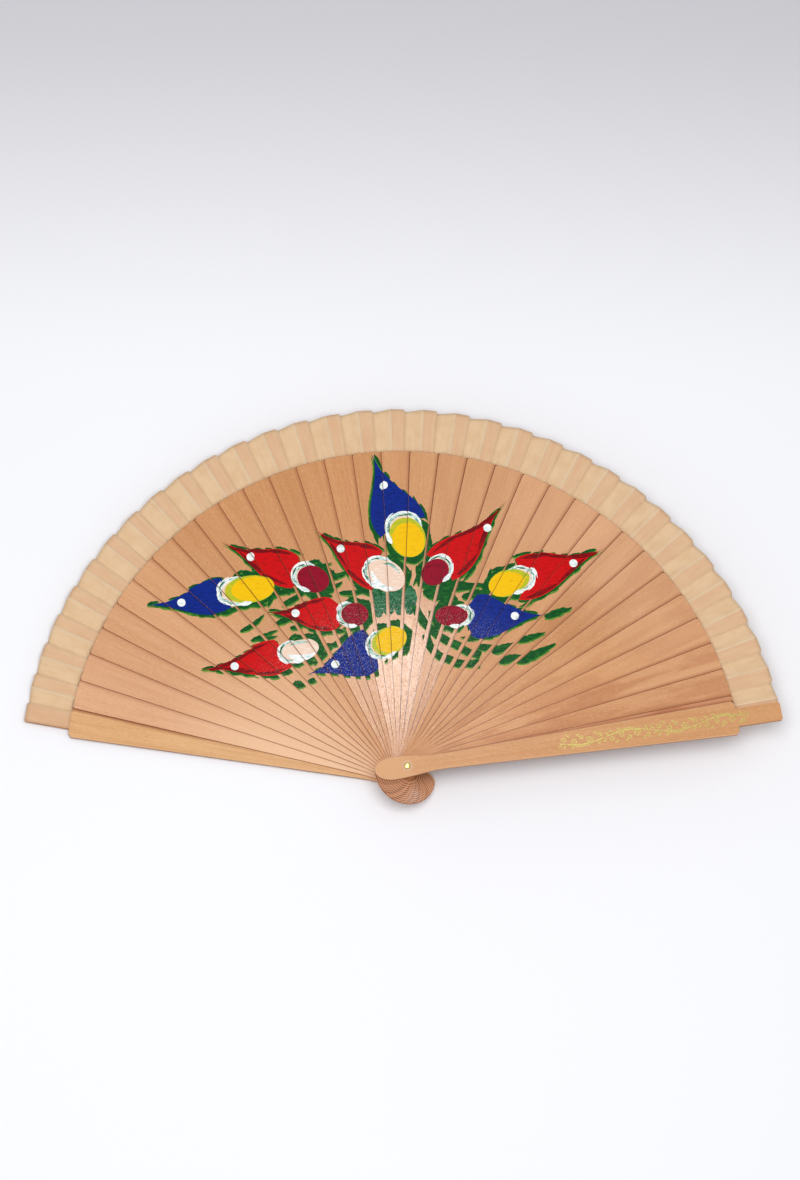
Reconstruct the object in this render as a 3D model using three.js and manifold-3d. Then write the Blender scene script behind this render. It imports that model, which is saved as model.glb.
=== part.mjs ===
// A folding hand fan with a pleated cloth leaf, laid open on its back.
// Millimetres, +Z up. The origin is on the rivet's axis, at the flat end of its rear head.
// The opened fan is symmetrical about +Y: the rear guard lies to the left (-X), at the bottom of the stack,
// and the front guard to the right (+X), at the top. Closing turns every stick towards the rear guard.
import * as THREE from 'three';
import { mergeVertices } from 'three/addons/utils/BufferGeometryUtils.js';
import Module from 'manifold-3d';

const wasm = await Module();
wasm.setup();

// ---- driving dimensions ----
const stickCount = 32;            // sticks between the two guards
const pleatStep = 5.0;            // degrees between neighbouring sticks, and from the rear guard to the first
const frontStep = 1.2;            // degrees from the last stick to the front guard, which almost covers it

const rimRadius = 187;            // rivet axis to the end of the wide part of each stick
const leafBand = 25;              // how far the leaf and the tips of the guards reach past that
const headReach = 18;             // rivet axis to the rounded end of each head
const headCentre = 8;             // how far behind the rivet a head is widest
const headHalfWidth = 6.4;
const neckReach = 22;             // how far in front of the rivet a stick is narrowest
const neckHalfWidth = 4.3;
const stickRimHalfWidth = 9.4;
const guardRimHalfWidth = 9.7;
const stickCorner = 1.0;          // corner radius at the rim of a stick
const guardCorner = 1.8;          // corner radius at the shoulders of a guard

const stickThickness = 0.6;
const stickGap = 0.1;             // air between neighbouring sticks
const ribThickness = 0.3;         // the thinned tongue under the leaf
const ribHalfWidth = 3.2;
const ribEndMargin = 0.8;         // how far a rib stops short of the leaf's outer edge
const guardThickness = 2.5;
const guardEdge = 0.4;            // chamfer round a guard
const guardTipHalfWidth = 5.1;
const guardTipCorner = 0.8;
const tongueOverlap = 4;          // how far a rib or tip is let into the wide part

const clothThickness = 0.2;
const clothClearance = 0.03;      // between the cloth and the wood under it
const leafInnerGap = 0.4;         // between the rim of the sticks and the inner edge of the leaf
const mountainMargin = 0.07;      // degrees from the edge of a rib to the fold on its left, at the leaf's inner edge
const valleyMargin = 0.12;        // and to the fold on its right
const valleyLift = 0.05;          // the valley folds hang this far above the underside of the rib
const leafTipMargin = 0.3;        // the leaf's end stops this far inside the edges of the rear guard's tip

const pinRadius = 1.0;
const holeClearance = 0.12;       // radial, so that the flats of the hole clear the flats of the pin
const rivetHeadRadius = 1.8;
const rivetFlatRadius = 1.1;      // flat at the top of each rivet head
const rivetHeadHeight = 0.8;
const washerRadius = 3.0;
const washerThickness = 0.3;
const washerClearance = 0.05;     // between the front washer and the front guard, which turns under it

const headSteps = 12;             // facets round half a head
const holeSides = 16;
const rimSteps = 3;               // facets across the rim arc
const roundSides = 24;            // facets round rivet heads and washers

// ---- derived places ----
const holeRadius = pinRadius + holeClearance;
const pitch = stickThickness + stickGap;
const rearGuardBase = rivetHeadHeight + washerThickness;
const rearGuardTop = rearGuardBase + guardThickness;
const stickBase = (i) => rearGuardTop + stickGap + (i - 1) * pitch;
const frontGuardBase = stickBase(stickCount) + pitch;
const frontGuardTop = frontGuardBase + guardThickness;
const frontWasherBase = frontGuardTop + washerClearance;
const frontCapBase = frontWasherBase + washerThickness;
const openAngle = stickCount * pleatStep + frontStep;
const rearAngle = 90 + openAngle / 2;
const stickAngle = (i) => rearAngle - i * pleatStep;
const frontAngle = rearAngle - openAngle;
const tipRecess = clothThickness + clothClearance;
const leafRadius = rimRadius + leafBand;
const leafInnerRadius = rimRadius + leafInnerGap;
const halfAngle = (halfWidth, radius) => THREE.MathUtils.radToDeg(Math.asin(halfWidth / radius));
const mountainOffset = halfAngle(ribHalfWidth, leafInnerRadius) + mountainMargin;
const valleyOffset = halfAngle(ribHalfWidth, leafInnerRadius) + valleyMargin;

// ---- materials ----
const wood = (colour) => new THREE.MeshStandardMaterial({ color: colour, roughness: 0.5, metalness: 0 });
const stickWood = wood(0xd9a77c);
const guardWood = wood(0xd6a272);
const cloth = new THREE.MeshStandardMaterial({ color: 0xe6c79b, roughness: 0.9, metalness: 0, side: THREE.DoubleSide });
const brass = new THREE.MeshStandardMaterial({ color: 0xd9b650, roughness: 0.25, metalness: 1 });
const clearPlastic = new THREE.MeshStandardMaterial({ color: 0xe8e4dc, roughness: 0.15, metalness: 0 });

// ---- solids ----
function toSolid(geometry) {
  const bare = geometry.clone();
  bare.deleteAttribute('normal');
  bare.deleteAttribute('uv');
  const merged = mergeVertices(bare, 1e-4);
  return new wasm.Manifold(new wasm.Mesh({
    numProp: 3,
    vertProperties: new Float32Array(merged.attributes.position.array),
    triVerts: new Uint32Array(merged.index.array),
  }));
}

function toGeometry(solid) {
  const mesh = solid.getMesh();
  const geometry = new THREE.BufferGeometry();
  geometry.setAttribute('position', new THREE.BufferAttribute(new Float32Array(mesh.vertProperties), 3));
  geometry.setIndex(new THREE.BufferAttribute(new Uint32Array(mesh.triVerts), 1));
  geometry.computeVertexNormals();
  return geometry;
}

const radians = THREE.MathUtils.degToRad;

// The wide part of a stick or guard, along +X from its rounded head to its rim:
// an elliptical head, a curved neck, a straight taper, and a rim that is an arc about the rivet.
function bladeShape(rimHalfWidth, corner) {
  const shape = new THREE.Shape();
  const taper = (rimHalfWidth - neckHalfWidth) / (rimRadius - neckReach);
  const headLength = headReach - headCentre;
  const rimAngle = Math.asin(rimHalfWidth / rimRadius);
  const sideEnd = rimRadius * Math.cos(rimAngle) - corner;
  const cornerAngle = rimAngle - corner / rimRadius;
  const neckPull = neckReach / 2;
  shape.moveTo(-headCentre, headHalfWidth);
  for (let k = 1; k <= headSteps; k++) {
    const a = Math.PI / 2 + (Math.PI * k) / headSteps;
    shape.lineTo(-headCentre + headLength * Math.cos(a), headHalfWidth * Math.sin(a));
  }
  shape.bezierCurveTo(
    -headCentre + neckPull, -headHalfWidth,
    neckReach - neckPull, -neckHalfWidth + taper * neckPull,
    neckReach, -neckHalfWidth,
  );
  shape.lineTo(sideEnd, -rimHalfWidth + taper * corner);
  for (let k = 0; k <= rimSteps; k++) {
    const a = cornerAngle * (-1 + (2 * k) / rimSteps);
    shape.lineTo(rimRadius * Math.cos(a), rimRadius * Math.sin(a));
  }
  shape.lineTo(sideEnd, rimHalfWidth - taper * corner);
  shape.lineTo(neckReach, neckHalfWidth);
  shape.bezierCurveTo(
    neckReach - neckPull, neckHalfWidth - taper * neckPull,
    -headCentre + neckPull, headHalfWidth,
    -headCentre, headHalfWidth,
  );
  return shape;
}

// The narrow tongue that carries the leaf, let into the wide part.
function tongueShape(halfWidth, end, corner) {
  const shape = new THREE.Shape();
  const start = rimRadius - tongueOverlap;
  shape.moveTo(start, -halfWidth);
  shape.lineTo(end - corner, -halfWidth);
  shape.lineTo(end, -halfWidth + corner);
  shape.lineTo(end, halfWidth - corner);
  shape.lineTo(end - corner, halfWidth);
  shape.lineTo(start, halfWidth);
  shape.closePath();
  return shape;
}

function plate(shape, thickness, chamfer = 0) {
  return toSolid(new THREE.ExtrudeGeometry(shape, {
    depth: thickness - 2 * chamfer,
    curveSegments: 5,
    bevelEnabled: chamfer > 0,
    bevelThickness: chamfer,
    bevelSize: chamfer,
    bevelOffset: -chamfer,
    bevelSegments: 1,
  }).translate(0, 0, chamfer));
}

function rivetHole(depth) {
  const drill = new THREE.CylinderGeometry(holeRadius, holeRadius, depth + 2, holeSides);
  return toSolid(drill.rotateX(Math.PI / 2).translate(0, 0, depth / 2));
}

function stickSolid() {
  const blade = plate(bladeShape(stickRimHalfWidth, stickCorner), stickThickness);
  const rib = plate(tongueShape(ribHalfWidth, leafRadius - ribEndMargin, ribHalfWidth / 4), ribThickness);
  return blade.add(rib).subtract(rivetHole(stickThickness));
}

function guardSolid(tipThickness) {
  const blade = plate(bladeShape(guardRimHalfWidth, guardCorner), guardThickness, guardEdge);
  const tip = plate(tongueShape(guardTipHalfWidth, leafRadius, guardTipCorner), tipThickness);
  return blade.add(tip).subtract(rivetHole(guardThickness));
}

// The leaf is one strip of cloth, folded to and fro: along each stick it lies on the rib, from a
// mountain fold on the left to a valley fold on the right, and then it climbs to the next mountain fold.
// Each entry is a fold: its angle as seen from the rivet at a radius, and the height of the cloth's underside.
function leafFolds() {
  const folds = [];
  const endHalfWidth = guardTipHalfWidth - leafTipMargin;
  const endSpread = (radius) => halfAngle(endHalfWidth, radius);
  const endHeight = rearGuardTop - tipRecess + clothClearance;
  folds.push({ angle: (radius) => rearAngle + endSpread(radius), height: endHeight });
  folds.push({ angle: (radius) => rearAngle - endSpread(radius), height: endHeight });
  for (let i = 1; i <= stickCount; i++) {
    const onRib = stickBase(i) + ribThickness + clothClearance;
    const ribEdge = (radius) => halfAngle(ribHalfWidth, radius);
    folds.push({ angle: () => stickAngle(i) + mountainOffset, height: onRib });
    folds.push({ angle: (radius) => stickAngle(i) - ribEdge(radius), height: onRib });
    if (i < stickCount) {
      folds.push({ angle: () => stickAngle(i) - valleyOffset, height: stickBase(i) + valleyLift });
    }
  }
  return folds;
}

function leafGeometry() {
  const positions = [];
  const index = [];
  const folds = leafFolds();
  const radii = [leafInnerRadius, leafRadius];
  // four corners at each fold: inner and outer edge, underside and upper side
  for (const fold of folds) {
    for (const radius of radii) {
      const a = radians(fold.angle(radius));
      for (const lift of [0, clothThickness]) {
        positions.push(radius * Math.cos(a), radius * Math.sin(a), fold.height + lift);
      }
    }
  }
  const quad = (a, b, c, d) => index.push(a, b, c, a, c, d);
  for (let k = 0; k < folds.length - 1; k++) {
    const p = 4 * k;
    const q = p + 4;
    quad(p, p + 2, q + 2, q);
    quad(p + 1, q + 1, q + 3, p + 3);
    quad(p, q, q + 1, p + 1);
    quad(p + 2, p + 3, q + 3, q + 2);
  }
  const last = 4 * (folds.length - 1);
  quad(0, 1, 3, 2);
  quad(last, last + 2, last + 3, last + 1);
  const geometry = new THREE.BufferGeometry();
  geometry.setAttribute('position', new THREE.Float32BufferAttribute(positions, 3));
  geometry.setIndex(index);
  geometry.computeVertexNormals();
  return geometry;
}

// A rivet head: a low dome with a flat top, standing on its wide face at z = 0.
function rivetHeadGeometry() {
  const domeSteps = 4;
  const profile = [new THREE.Vector2(0, 0)];
  for (let k = 0; k <= domeSteps; k++) {
    const a = (Math.PI / 2) * (k / domeSteps);
    const spread = rivetHeadRadius - rivetFlatRadius;
    profile.push(new THREE.Vector2(rivetFlatRadius + spread * Math.cos(a), rivetHeadHeight * Math.sin(a)));
  }
  profile.push(new THREE.Vector2(0, rivetHeadHeight));
  return new THREE.LatheGeometry(profile, roundSides).rotateX(Math.PI / 2);
}

function washerGeometry() {
  const profile = [
    new THREE.Vector2(holeRadius, 0),
    new THREE.Vector2(washerRadius, 0),
    new THREE.Vector2(washerRadius, washerThickness),
    new THREE.Vector2(holeRadius, washerThickness),
    new THREE.Vector2(holeRadius, 0),
  ];
  return new THREE.LatheGeometry(profile, roundSides).rotateX(Math.PI / 2);
}

// ---- assembly ----
const group = new THREE.Group();

function add(name, geometry, material, height, angle = 0) {
  const mesh = new THREE.Mesh(geometry, material);
  mesh.name = name;
  mesh.position.z = height;
  mesh.rotation.z = radians(angle);
  group.add(mesh);
  return mesh;
}

add('rear_guard', toGeometry(guardSolid(guardThickness - tipRecess)), guardWood, rearGuardBase, rearAngle);

const stickGeometry = toGeometry(stickSolid());
for (let i = 1; i <= stickCount; i++) {
  add(`stick_${String(i).padStart(2, '0')}`, stickGeometry.clone(), stickWood, stickBase(i), stickAngle(i));
}

add('front_guard', toGeometry(guardSolid(guardThickness)), guardWood, frontGuardBase, frontAngle);
add('leaf', leafGeometry(), cloth, 0);

const pinLength = frontCapBase - rivetHeadHeight;
const pin = new THREE.CylinderGeometry(pinRadius, pinRadius, pinLength, holeSides).rotateX(Math.PI / 2);
add('rivet_pin', pin, brass, rivetHeadHeight + pinLength / 2);
add('rivet_rear_head', rivetHeadGeometry().rotateX(Math.PI), brass, rivetHeadHeight);
add('rivet_front_cap', rivetHeadGeometry(), brass, frontCapBase);
add('rear_washer', washerGeometry(), clearPlastic, rivetHeadHeight);
add('front_washer', washerGeometry(), clearPlastic, frontWasherBase);

export default group;
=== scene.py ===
# %% [markdown]
# # A painted wooden hand fan
# The fan is a pile of thin wooden sticks between two thick guards, all turning on one rivet.
# A narrow band of pleated cloth, the leaf, joins the outer ends of the sticks.
# The frame brings in the solid wooden pieces. The steps below give
# them their finish, and then make the soft and painted pieces that thin solids can't show.

# %% Load the frame
import math
import random

import bmesh
import bpy
from mathutils import Matrix, Vector


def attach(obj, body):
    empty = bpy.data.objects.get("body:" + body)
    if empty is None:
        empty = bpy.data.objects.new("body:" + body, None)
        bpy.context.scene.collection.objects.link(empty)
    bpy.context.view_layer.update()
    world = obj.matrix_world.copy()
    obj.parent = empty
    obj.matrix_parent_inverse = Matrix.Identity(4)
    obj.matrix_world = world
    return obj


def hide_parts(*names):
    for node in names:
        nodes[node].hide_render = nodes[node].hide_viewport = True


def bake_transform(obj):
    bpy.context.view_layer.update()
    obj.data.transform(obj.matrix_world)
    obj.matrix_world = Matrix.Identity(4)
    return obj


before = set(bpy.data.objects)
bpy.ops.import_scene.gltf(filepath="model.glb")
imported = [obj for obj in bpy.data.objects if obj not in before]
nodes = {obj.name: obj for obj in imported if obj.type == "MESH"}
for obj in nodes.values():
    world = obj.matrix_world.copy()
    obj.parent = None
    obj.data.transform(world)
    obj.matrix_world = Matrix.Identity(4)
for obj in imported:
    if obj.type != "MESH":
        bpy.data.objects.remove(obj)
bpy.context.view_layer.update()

# %% [markdown]
# ## The fan's own measures
# Every stick is the same blade turned about the rivet, so one angle and one height place it.
# The measures are in millimetres and degrees, as a fan maker would say them, and each piece is
# made in a stick's own frame: u runs along the stick from the rivet, v runs across it to the left.

# %% Angles and heights
MM = 0.001
STICKS = 32
STEP = 5.0             # degrees from one stick to the next
REAR_ANGLE = 170.6     # where the two guards point when the fan is open
FRONT_ANGLE = 9.4
RIM = 187.0            # from the rivet to the ends of the sticks
LEAF_INNER = 187.15
LEAF_OUTER = 212.0
REAR_BASE = 1.1        # heights above the table, from here on
REAR_TOP = 3.6
FIRST_BASE = 3.7
FRONT_TOP = 28.6
PITCH = 0.7            # a stick and the air above it
BLADE = 0.6            # a stick alone
NAMES = ["rear_guard"] + [f"stick_{i:02d}" for i in range(1, STICKS + 1)] + ["front_guard"]


def blade_angle(i):
    return FRONT_ANGLE if i > STICKS else REAR_ANGLE - STEP * i


def blade_base(i):
    return REAR_BASE if i == 0 else FIRST_BASE + PITCH * (i - 1)


def blade_top(i):
    return REAR_TOP if i == 0 else FRONT_TOP if i > STICKS else blade_base(i) + BLADE


def polar(angle, radius):
    a = math.radians(angle)
    return Vector((radius * math.cos(a), radius * math.sin(a)))


print("first stick at", blade_angle(1), "degrees, last at", blade_angle(STICKS))

# %% [markdown]
# ## Helpers for materials
# A finish is a small tree of nodes. These helpers keep each tree short: one adds a node and fills
# its sockets, with a value or with a link, and one starts a new material with its shader.

# %% Node helpers


def linear(r, g, b):
    """A paint chart colour, 0 to 255, as the shader's linear colour."""
    def one(c):
        c /= 255
        return c / 12.92 if c <= 0.04045 else ((c + 0.055) / 1.055) ** 2.4
    return (one(r), one(g), one(b), 1.0)


def add(tree, kind, sockets=None, **settings):
    n = tree.nodes.new(kind)
    for key, value in settings.items():
        setattr(n, key, value)
    for key, value in (sockets or {}).items():
        if isinstance(value, bpy.types.NodeSocket):
            tree.links.new(value, n.inputs[key])
        else:
            n.inputs[key].default_value = value
    return n


def sums(tree, operation, a, b=0.0, c=None, clamp=False):
    sockets = {0: a, 1: b}
    if c is not None:
        sockets[2] = c
    return add(tree, "ShaderNodeMath", sockets, operation=operation, use_clamp=clamp).outputs[0]


def ramp(tree, value, low, high, out_low=0.0, out_high=1.0):
    return add(tree, "ShaderNodeMapRange", {
        "Value": value, "From Min": low, "From Max": high, "To Min": out_low, "To Max": out_high,
    }, interpolation_type="SMOOTHSTEP").outputs["Result"]


def mix(tree, factor, a, b, blend="MIX"):
    return add(tree, "ShaderNodeMix", {0: factor, 6: a, 7: b},
               data_type="RGBA", blend_type=blend).outputs[2]


def noise(tree, vector, scale, detail=2.0, rough=0.5, distortion=0.0):
    return add(tree, "ShaderNodeTexNoise", {
        "Vector": vector, "Scale": scale, "Detail": detail, "Roughness": rough,
        "Distortion": distortion}).outputs["Fac"]


def stretched(tree, vector, x, y, z=1.0, turn=0.0, shift=(0, 0, 0)):
    return add(tree, "ShaderNodeMapping", {
        "Vector": vector, "Scale": (x, y, z), "Rotation": (0, 0, math.radians(turn)),
        "Location": shift}).outputs[0]


def new_material(name, **shader):
    material = bpy.data.materials.new(name)
    material.use_nodes = True
    tree = material.node_tree
    tree.nodes.clear()
    out = tree.nodes.new("ShaderNodeOutputMaterial")
    bsdf = add(tree, "ShaderNodeBsdfPrincipled", shader)
    tree.links.new(bsdf.outputs[0], out.inputs[0])
    return material, tree, bsdf


def relief(tree, bsdf, height, distance, strength=1.0, socket="Normal"):
    bump = add(tree, "ShaderNodeBump", {
        "Height": height, "Distance": distance * MM, "Strength": strength})
    tree.links.new(bump.outputs[0], bsdf.inputs[socket])


print("pear wood in linear light:", [round(c, 3) for c in linear(217, 165, 122)])

# %% [markdown]
# ## Varnished pear wood
# The sticks are sliced from pale, close-grained wood and varnished to a satin gloss. The grain
# runs along every stick, so a single flat texture would be wrong for all but one of them. Each
# stick gets the same recipe turned to its own angle and shifted by its own amount, so that no
# two sticks match. On the wood lie long soft streaks, fine fibres, short dark pores and small
# flecks, and some sticks show a wavy figure across the grain. Painted shade darkens each stick
# where the next one lies over it, with a thin painted shadow line along that edge. The sides that
# face sideways are browner than the face, and some right-hand sticks grow paler towards the rim.
# A painted sheen lightens the left-hand sticks towards the rivet, the heads carry a darker, redder
# painted shade, and painted highlights lie in fine rings round the end of each head and on the bevels.

# %% Tones of the wood
# Several of these tones are painted light: the shade and the thin shadow line beside the next stick, the
# highlights of the head rings and the bevels, and the sheen near the rivet.
TONES = {name: linear(*chart) for name, chart in {
    "pore": (150, 96, 66), "fleck": (160, 102, 66), "pale fleck": (240, 200, 160),
    "figure": (164, 98, 60), "figure light": (232, 184, 140), "near the rivet": (246, 204, 164),
    "near the rim": (230, 184, 150), "painted shade": (150, 84, 48), "painted edge shadow": (114, 56, 32),
    "head ring highlight": (228, 184, 150), "sanded edge highlight": (240, 204, 168), "browner side": (164, 104, 68),
}.items()}
# painted shade falls along this line
NEXT_STICK_EDGE = (-0.0563, 3.62)      # the next piece's left edge in a stick's own frame,
FRONT_GUARD_EDGE = (0.0118, 3.58)      # as its slope and its distance beside the rivet
# painted highlight rings round the end of each head
HEAD_RING_RATE = 6.6                        # how fast they follow each other, in radians a millimetre
print("tones:", ", ".join(TONES))

# %% Grain
# Each layer is noise drawn out along the stick: a small scale along u makes it long, a larger one
# across it makes it fine.


def grain_layers(tree, own):
    streaks = noise(tree, stretched(tree, own, 0.011, 0.55, 0.3), 1.0, 3, 0.55, 0.4)
    fibres = noise(tree, stretched(tree, own, 0.05, 3.2, 1.5), 1.0, 3, 0.6)
    pores = ramp(tree, noise(tree, stretched(tree, own, 0.22, 5.5, 2.0), 1.0, 1, 0.5), 0.66, 0.74)
    flecks = noise(tree, stretched(tree, own, 0.55, 2.1, 1.0), 1.0, 2, 0.6)
    waves = noise(tree, stretched(tree, own, 0.026, 0.13, 1.0, 24), 1.0, 2, 0.5, 0.5)
    return streaks, fibres, pores, flecks, waves


def grain_colour(tree, own, face, streak, figure):
    """The wood's colour before wear, with the streaks and fibres that later layers follow."""
    streaks, fibres, pores, flecks, waves = grain_layers(tree, own)
    colour = mix(tree, ramp(tree, streaks, 0.30, 0.72), linear(*face), linear(*streak))
    colour = mix(tree, ramp(tree, fibres, 0.35, 0.75, 0.0, 0.32), colour,
                 linear(*(0.86 * c for c in streak)))
    colour = mix(tree, sums(tree, "MULTIPLY", pores, 0.26), colour, TONES["pore"])
    colour = mix(tree, ramp(tree, flecks, 0.54, 0.74, 0.0, 0.24), colour, TONES["fleck"])
    colour = mix(tree, ramp(tree, flecks, 0.46, 0.26, 0.0, 0.30), colour, TONES["pale fleck"])
    swing = ramp(tree, waves, 0.34, 0.64, -figure, figure)
    colour = mix(tree, sums(tree, "MAXIMUM", swing, 0.0), colour, TONES["figure"])
    lighter = sums(tree, "MAXIMUM", sums(tree, "MULTIPLY", swing, -0.6), 0.0)
    return mix(tree, lighter, colour, TONES["figure light"]), streaks, fibres


print("grain in five layers")

# %% Painted shade, highlights and browner sides


def painted_shade_beside_next(tree, i, colour, u, v, facing):
    """Painted shade on stick i: a soft dark band and a thin dark shadow line where the next piece's edge
    lies over it, on either face.
    """
    slope, offset = FRONT_GUARD_EDGE if i == STICKS else NEXT_STICK_EDGE
    side = sums(tree, "MULTIPLY", v, sums(tree, "SIGN", facing))
    clear = sums(tree, "SUBTRACT", side, sums(tree, "MULTIPLY_ADD", u, slope, offset))
    # a soft band of painted shade beside the next piece's edge, strongest on the rear guard
    dark, soft = (0.9, 2.4) if i == 0 else (0.32 + 0.01 * i, 2.6)
    painted_shade = sums(tree, "MULTIPLY", ramp(tree, clear, 0.0, soft, dark, 0.0), ramp(tree, u, 60, 150))
    colour = mix(tree, painted_shade, colour, TONES["painted shade"])
    # and a thin painted shadow line right along that edge
    crisp, fine = (0.5, 0.44) if i < STICKS / 2 else (0.9, 0.66)
    line = sums(tree, "MULTIPLY", ramp(tree, clear, 0.18, fine, crisp, 0.0), ramp(tree, u, 12, 30))
    return mix(tree, line, colour, TONES["painted edge shadow"])


def head_ring_highlights(tree, i, colour, flat, u, streaks):
    """Painted highlights in fine rings round the end of the head, where the edges of the piled heads catch
    the light; faint on the front guard.
    """
    ring = add(tree, "ShaderNodeVectorMath", {0: stretched(tree, flat, 1, 1, 0, 0, (2.0, 0, 0))},
               operation="LENGTH").outputs["Value"]
    ring = sums(tree, "MULTIPLY", ring, HEAD_RING_RATE)
    ring = sums(tree, "SINE", sums(tree, "MULTIPLY_ADD", streaks, 5.0, ring))
    ring = ramp(tree, ring, 0.2, 0.9, 0.0, 0.15 if i > STICKS else 0.8)
    return mix(tree, sums(tree, "MULTIPLY", ring, ramp(tree, u, 2, -6)), colour, TONES["head ring highlight"])


def edge_highlights_and_sides(tree, i, colour, facing, u):
    """A painted highlight lies on the bevels, and sides that face sideways are browner."""
    # the painted highlight on the bevels: near the head on the sticks, all along the guards
    level = sums(tree, "ABSOLUTE", facing)
    worn = sums(tree, "MULTIPLY", ramp(tree, level, 0.45, 0.6), ramp(tree, level, 0.96, 0.9))
    worn = sums(tree, "MULTIPLY", worn, ramp(tree, u, 16, 4, 0.0, 0.5) if 0 < i <= STICKS else 0.35)
    colour = mix(tree, worn, colour, TONES["sanded edge highlight"])
    return mix(tree, ramp(tree, level, 0.2, 0.55, 0.8, 0.0), colour, TONES["browner side"])


# the lines beside the next stick are painted shade, and the rings and edges painted highlights
print("wear: rubbed lines, saw rings, sanded edges")

# %% The wood recipe


def wood(name, i, face, streak, figure, gloss, pale, outer, head):
    """Stick i's own wood. face and streak are its two tones, and head the tone of the darker, redder
    painted shade on its head. figure, gloss, pale and outer say how much of the wavy figure, the shine,
    the painted sheen near the rivet and the paler outer end it has."""
    material, tree, bsdf = new_material(
        name, **{"Roughness": 0.5, "Specular IOR Level": 0.12, "Coat Roughness": 0.24})
    where = add(tree, "ShaderNodeTexCoord")
    flat = stretched(tree, where.outputs["Object"], 1 / MM, 1 / MM, 1 / MM, -blade_angle(i))
    along = add(tree, "ShaderNodeSeparateXYZ", {0: flat})
    facing = add(tree, "ShaderNodeSeparateXYZ", {0: where.outputs["Normal"]}).outputs[2]
    u, v = along.outputs[0], along.outputs[1]
    own = stretched(tree, flat, 1, 1, 1, 0, (37.0 * i, 11.0 * i, 5.0 * i))

    colour, streaks, fibres = grain_colour(tree, own, face, streak, figure)
    # a painted sheen: paler towards the rivet on the left-hand sticks
    colour = mix(tree, ramp(tree, u, 150, 70, 0.0, pale), colour, TONES["near the rivet"])
    colour = mix(tree, ramp(tree, u, 115, 170, 0.0, outer), colour, TONES["near the rim"])
    if i <= STICKS:
        colour = painted_shade_beside_next(tree, i, colour, u, v, facing)
    # the heads get a darker, redder painted shade, where they lie in the pile
    head_shade = ramp(tree, sums(tree, "MULTIPLY_ADD", streaks, 6.0, u), 0, 9, 0.8, 0.0)
    colour = mix(tree, head_shade, colour, linear(*head))
    colour = head_ring_highlights(tree, i, colour, flat, u, streaks)
    colour = edge_highlights_and_sides(tree, i, colour, facing, u)
    tree.links.new(colour, bsdf.inputs["Base Color"])
    tree.links.new(ramp(tree, fibres, 0.3, 0.8, 0.36, 0.5), bsdf.inputs["Roughness"])

    # the varnish is thickest near the rivet, in patches, and dried with a fine pebbled skin
    skin = noise(tree, flat, 1.0, 2, 0.6)
    varnish = sums(tree, "MULTIPLY", ramp(tree, u, 150, 60, 0.04, gloss),
                   ramp(tree, skin, 0.34, 0.62, 0.4, 1.0))
    tree.links.new(varnish, bsdf.inputs["Coat Weight"])
    relief(tree, bsdf, fibres, 0.03, 0.5)
    relief(tree, bsdf, sums(tree, "ADD", fibres, skin), 0.05, 0.8, "Coat Normal")
    return material


print("the wood recipe needs nine things of a stick")

# %% Wood on every stick
MIDDLE_TONE = (207, 148, 99)
LEFT_GAIN = (70, 94, 130)              # the left-hand sticks are paler and less red
END_GAIN = (30, 30, 50)                # and so are the last few on the right
REAR_TONES = ((226, 176, 124), (214, 160, 108))
FRONT_TONES = ((211, 156, 108), (205, 147, 98))
LAST_STICK_TONES = ((198, 132, 94), (186, 118, 80))
# the tone of the painted shade on the heads
HEAD_SHADE_TONE = (186, 120, 80)
chance = random.Random(7)
for i, name in enumerate(NAMES):
    turn = i / (STICKS + 1)
    guard = i in (0, STICKS + 1)
    drift = chance.uniform(-5, 5)
    left, end = max(0.0, 0.3 - turn), max(0.0, turn - 0.75)
    face = tuple(middle + to_left * left + to_end * end + drift
                 for middle, to_left, to_end in zip(MIDDLE_TONE, LEFT_GAIN, END_GAIN))
    streak = (face[0] - 6, face[1] - 8, face[2] - 9)
    if guard:
        face, streak = REAR_TONES if i == 0 else FRONT_TONES
    if i == STICKS:
        face, streak = LAST_STICK_TONES
    figure = 0.02 if guard else 0.04 + 0.5 * max(0.0, turn - 0.45) * chance.uniform(0.5, 1.4)
    # how much painted sheen each stick has near the rivet, most on the left
    pale = 0.0 if i == 0 else 0.6 * max(0.0, 0.32 - turn) / 0.32
    outer = 0.0 if guard else 0.4 * max(0.0, 1 - abs(turn - 0.72) / 0.28)
    angle = blade_angle(i)
    gloss = 1.0 if 80 < angle < 104 else 0.5 if 68 < angle < 120 else 0.15
    # each head's painted shade is darker by a random amount
    shade = chance.choice((0, 16, 36, 58))
    head = face if guard else tuple(c - shade for c in HEAD_SHADE_TONE)
    nodes[name].data.materials.clear()
    nodes[name].data.materials.append(
        wood(f"pear_{name}", i, face, streak, figure, gloss, pale, outer, head))
print("wood recipes:", sum(m.name.startswith("pear_") for m in bpy.data.materials))

# %% [markdown]
# ## Sanded edges
# Nothing cut from wood and varnished keeps a knife edge. A narrow bevel catches the light along
# every stick, and it is a modifier, so the solid underneath stays as it was made.

# %% Bevels on the wood


def soften(piece, width):
    bevel = piece.modifiers.new("sanded edge highlight", "BEVEL")
    bevel.width = width * MM
    bevel.segments = 2
    bevel.limit_method = "ANGLE"
    bevel.angle_limit = math.radians(35)
    bevel.harden_normals = True
    for face in piece.data.polygons:
        face.use_smooth = True


STICK_EDGE = 0.10
GUARD_EDGES = {"rear_guard": 0.25, "front_guard": 0.7}
for name in NAMES:
    soften(nodes[name], GUARD_EDGES.get(name, STICK_EDGE))
print("softened", len(NAMES), "wooden pieces")

# %% [markdown]
# ## Helpers for thin shapes
# Paint and gilding are thin raised shapes that lie on a stick. Each shape starts as an outline,
# gets cut to the part of the stick that shows, and is then thickened by a few hundredths of a
# millimetre. It stays thinner than the air between two sticks, so the fan can close over it.

# %% Outlines


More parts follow.
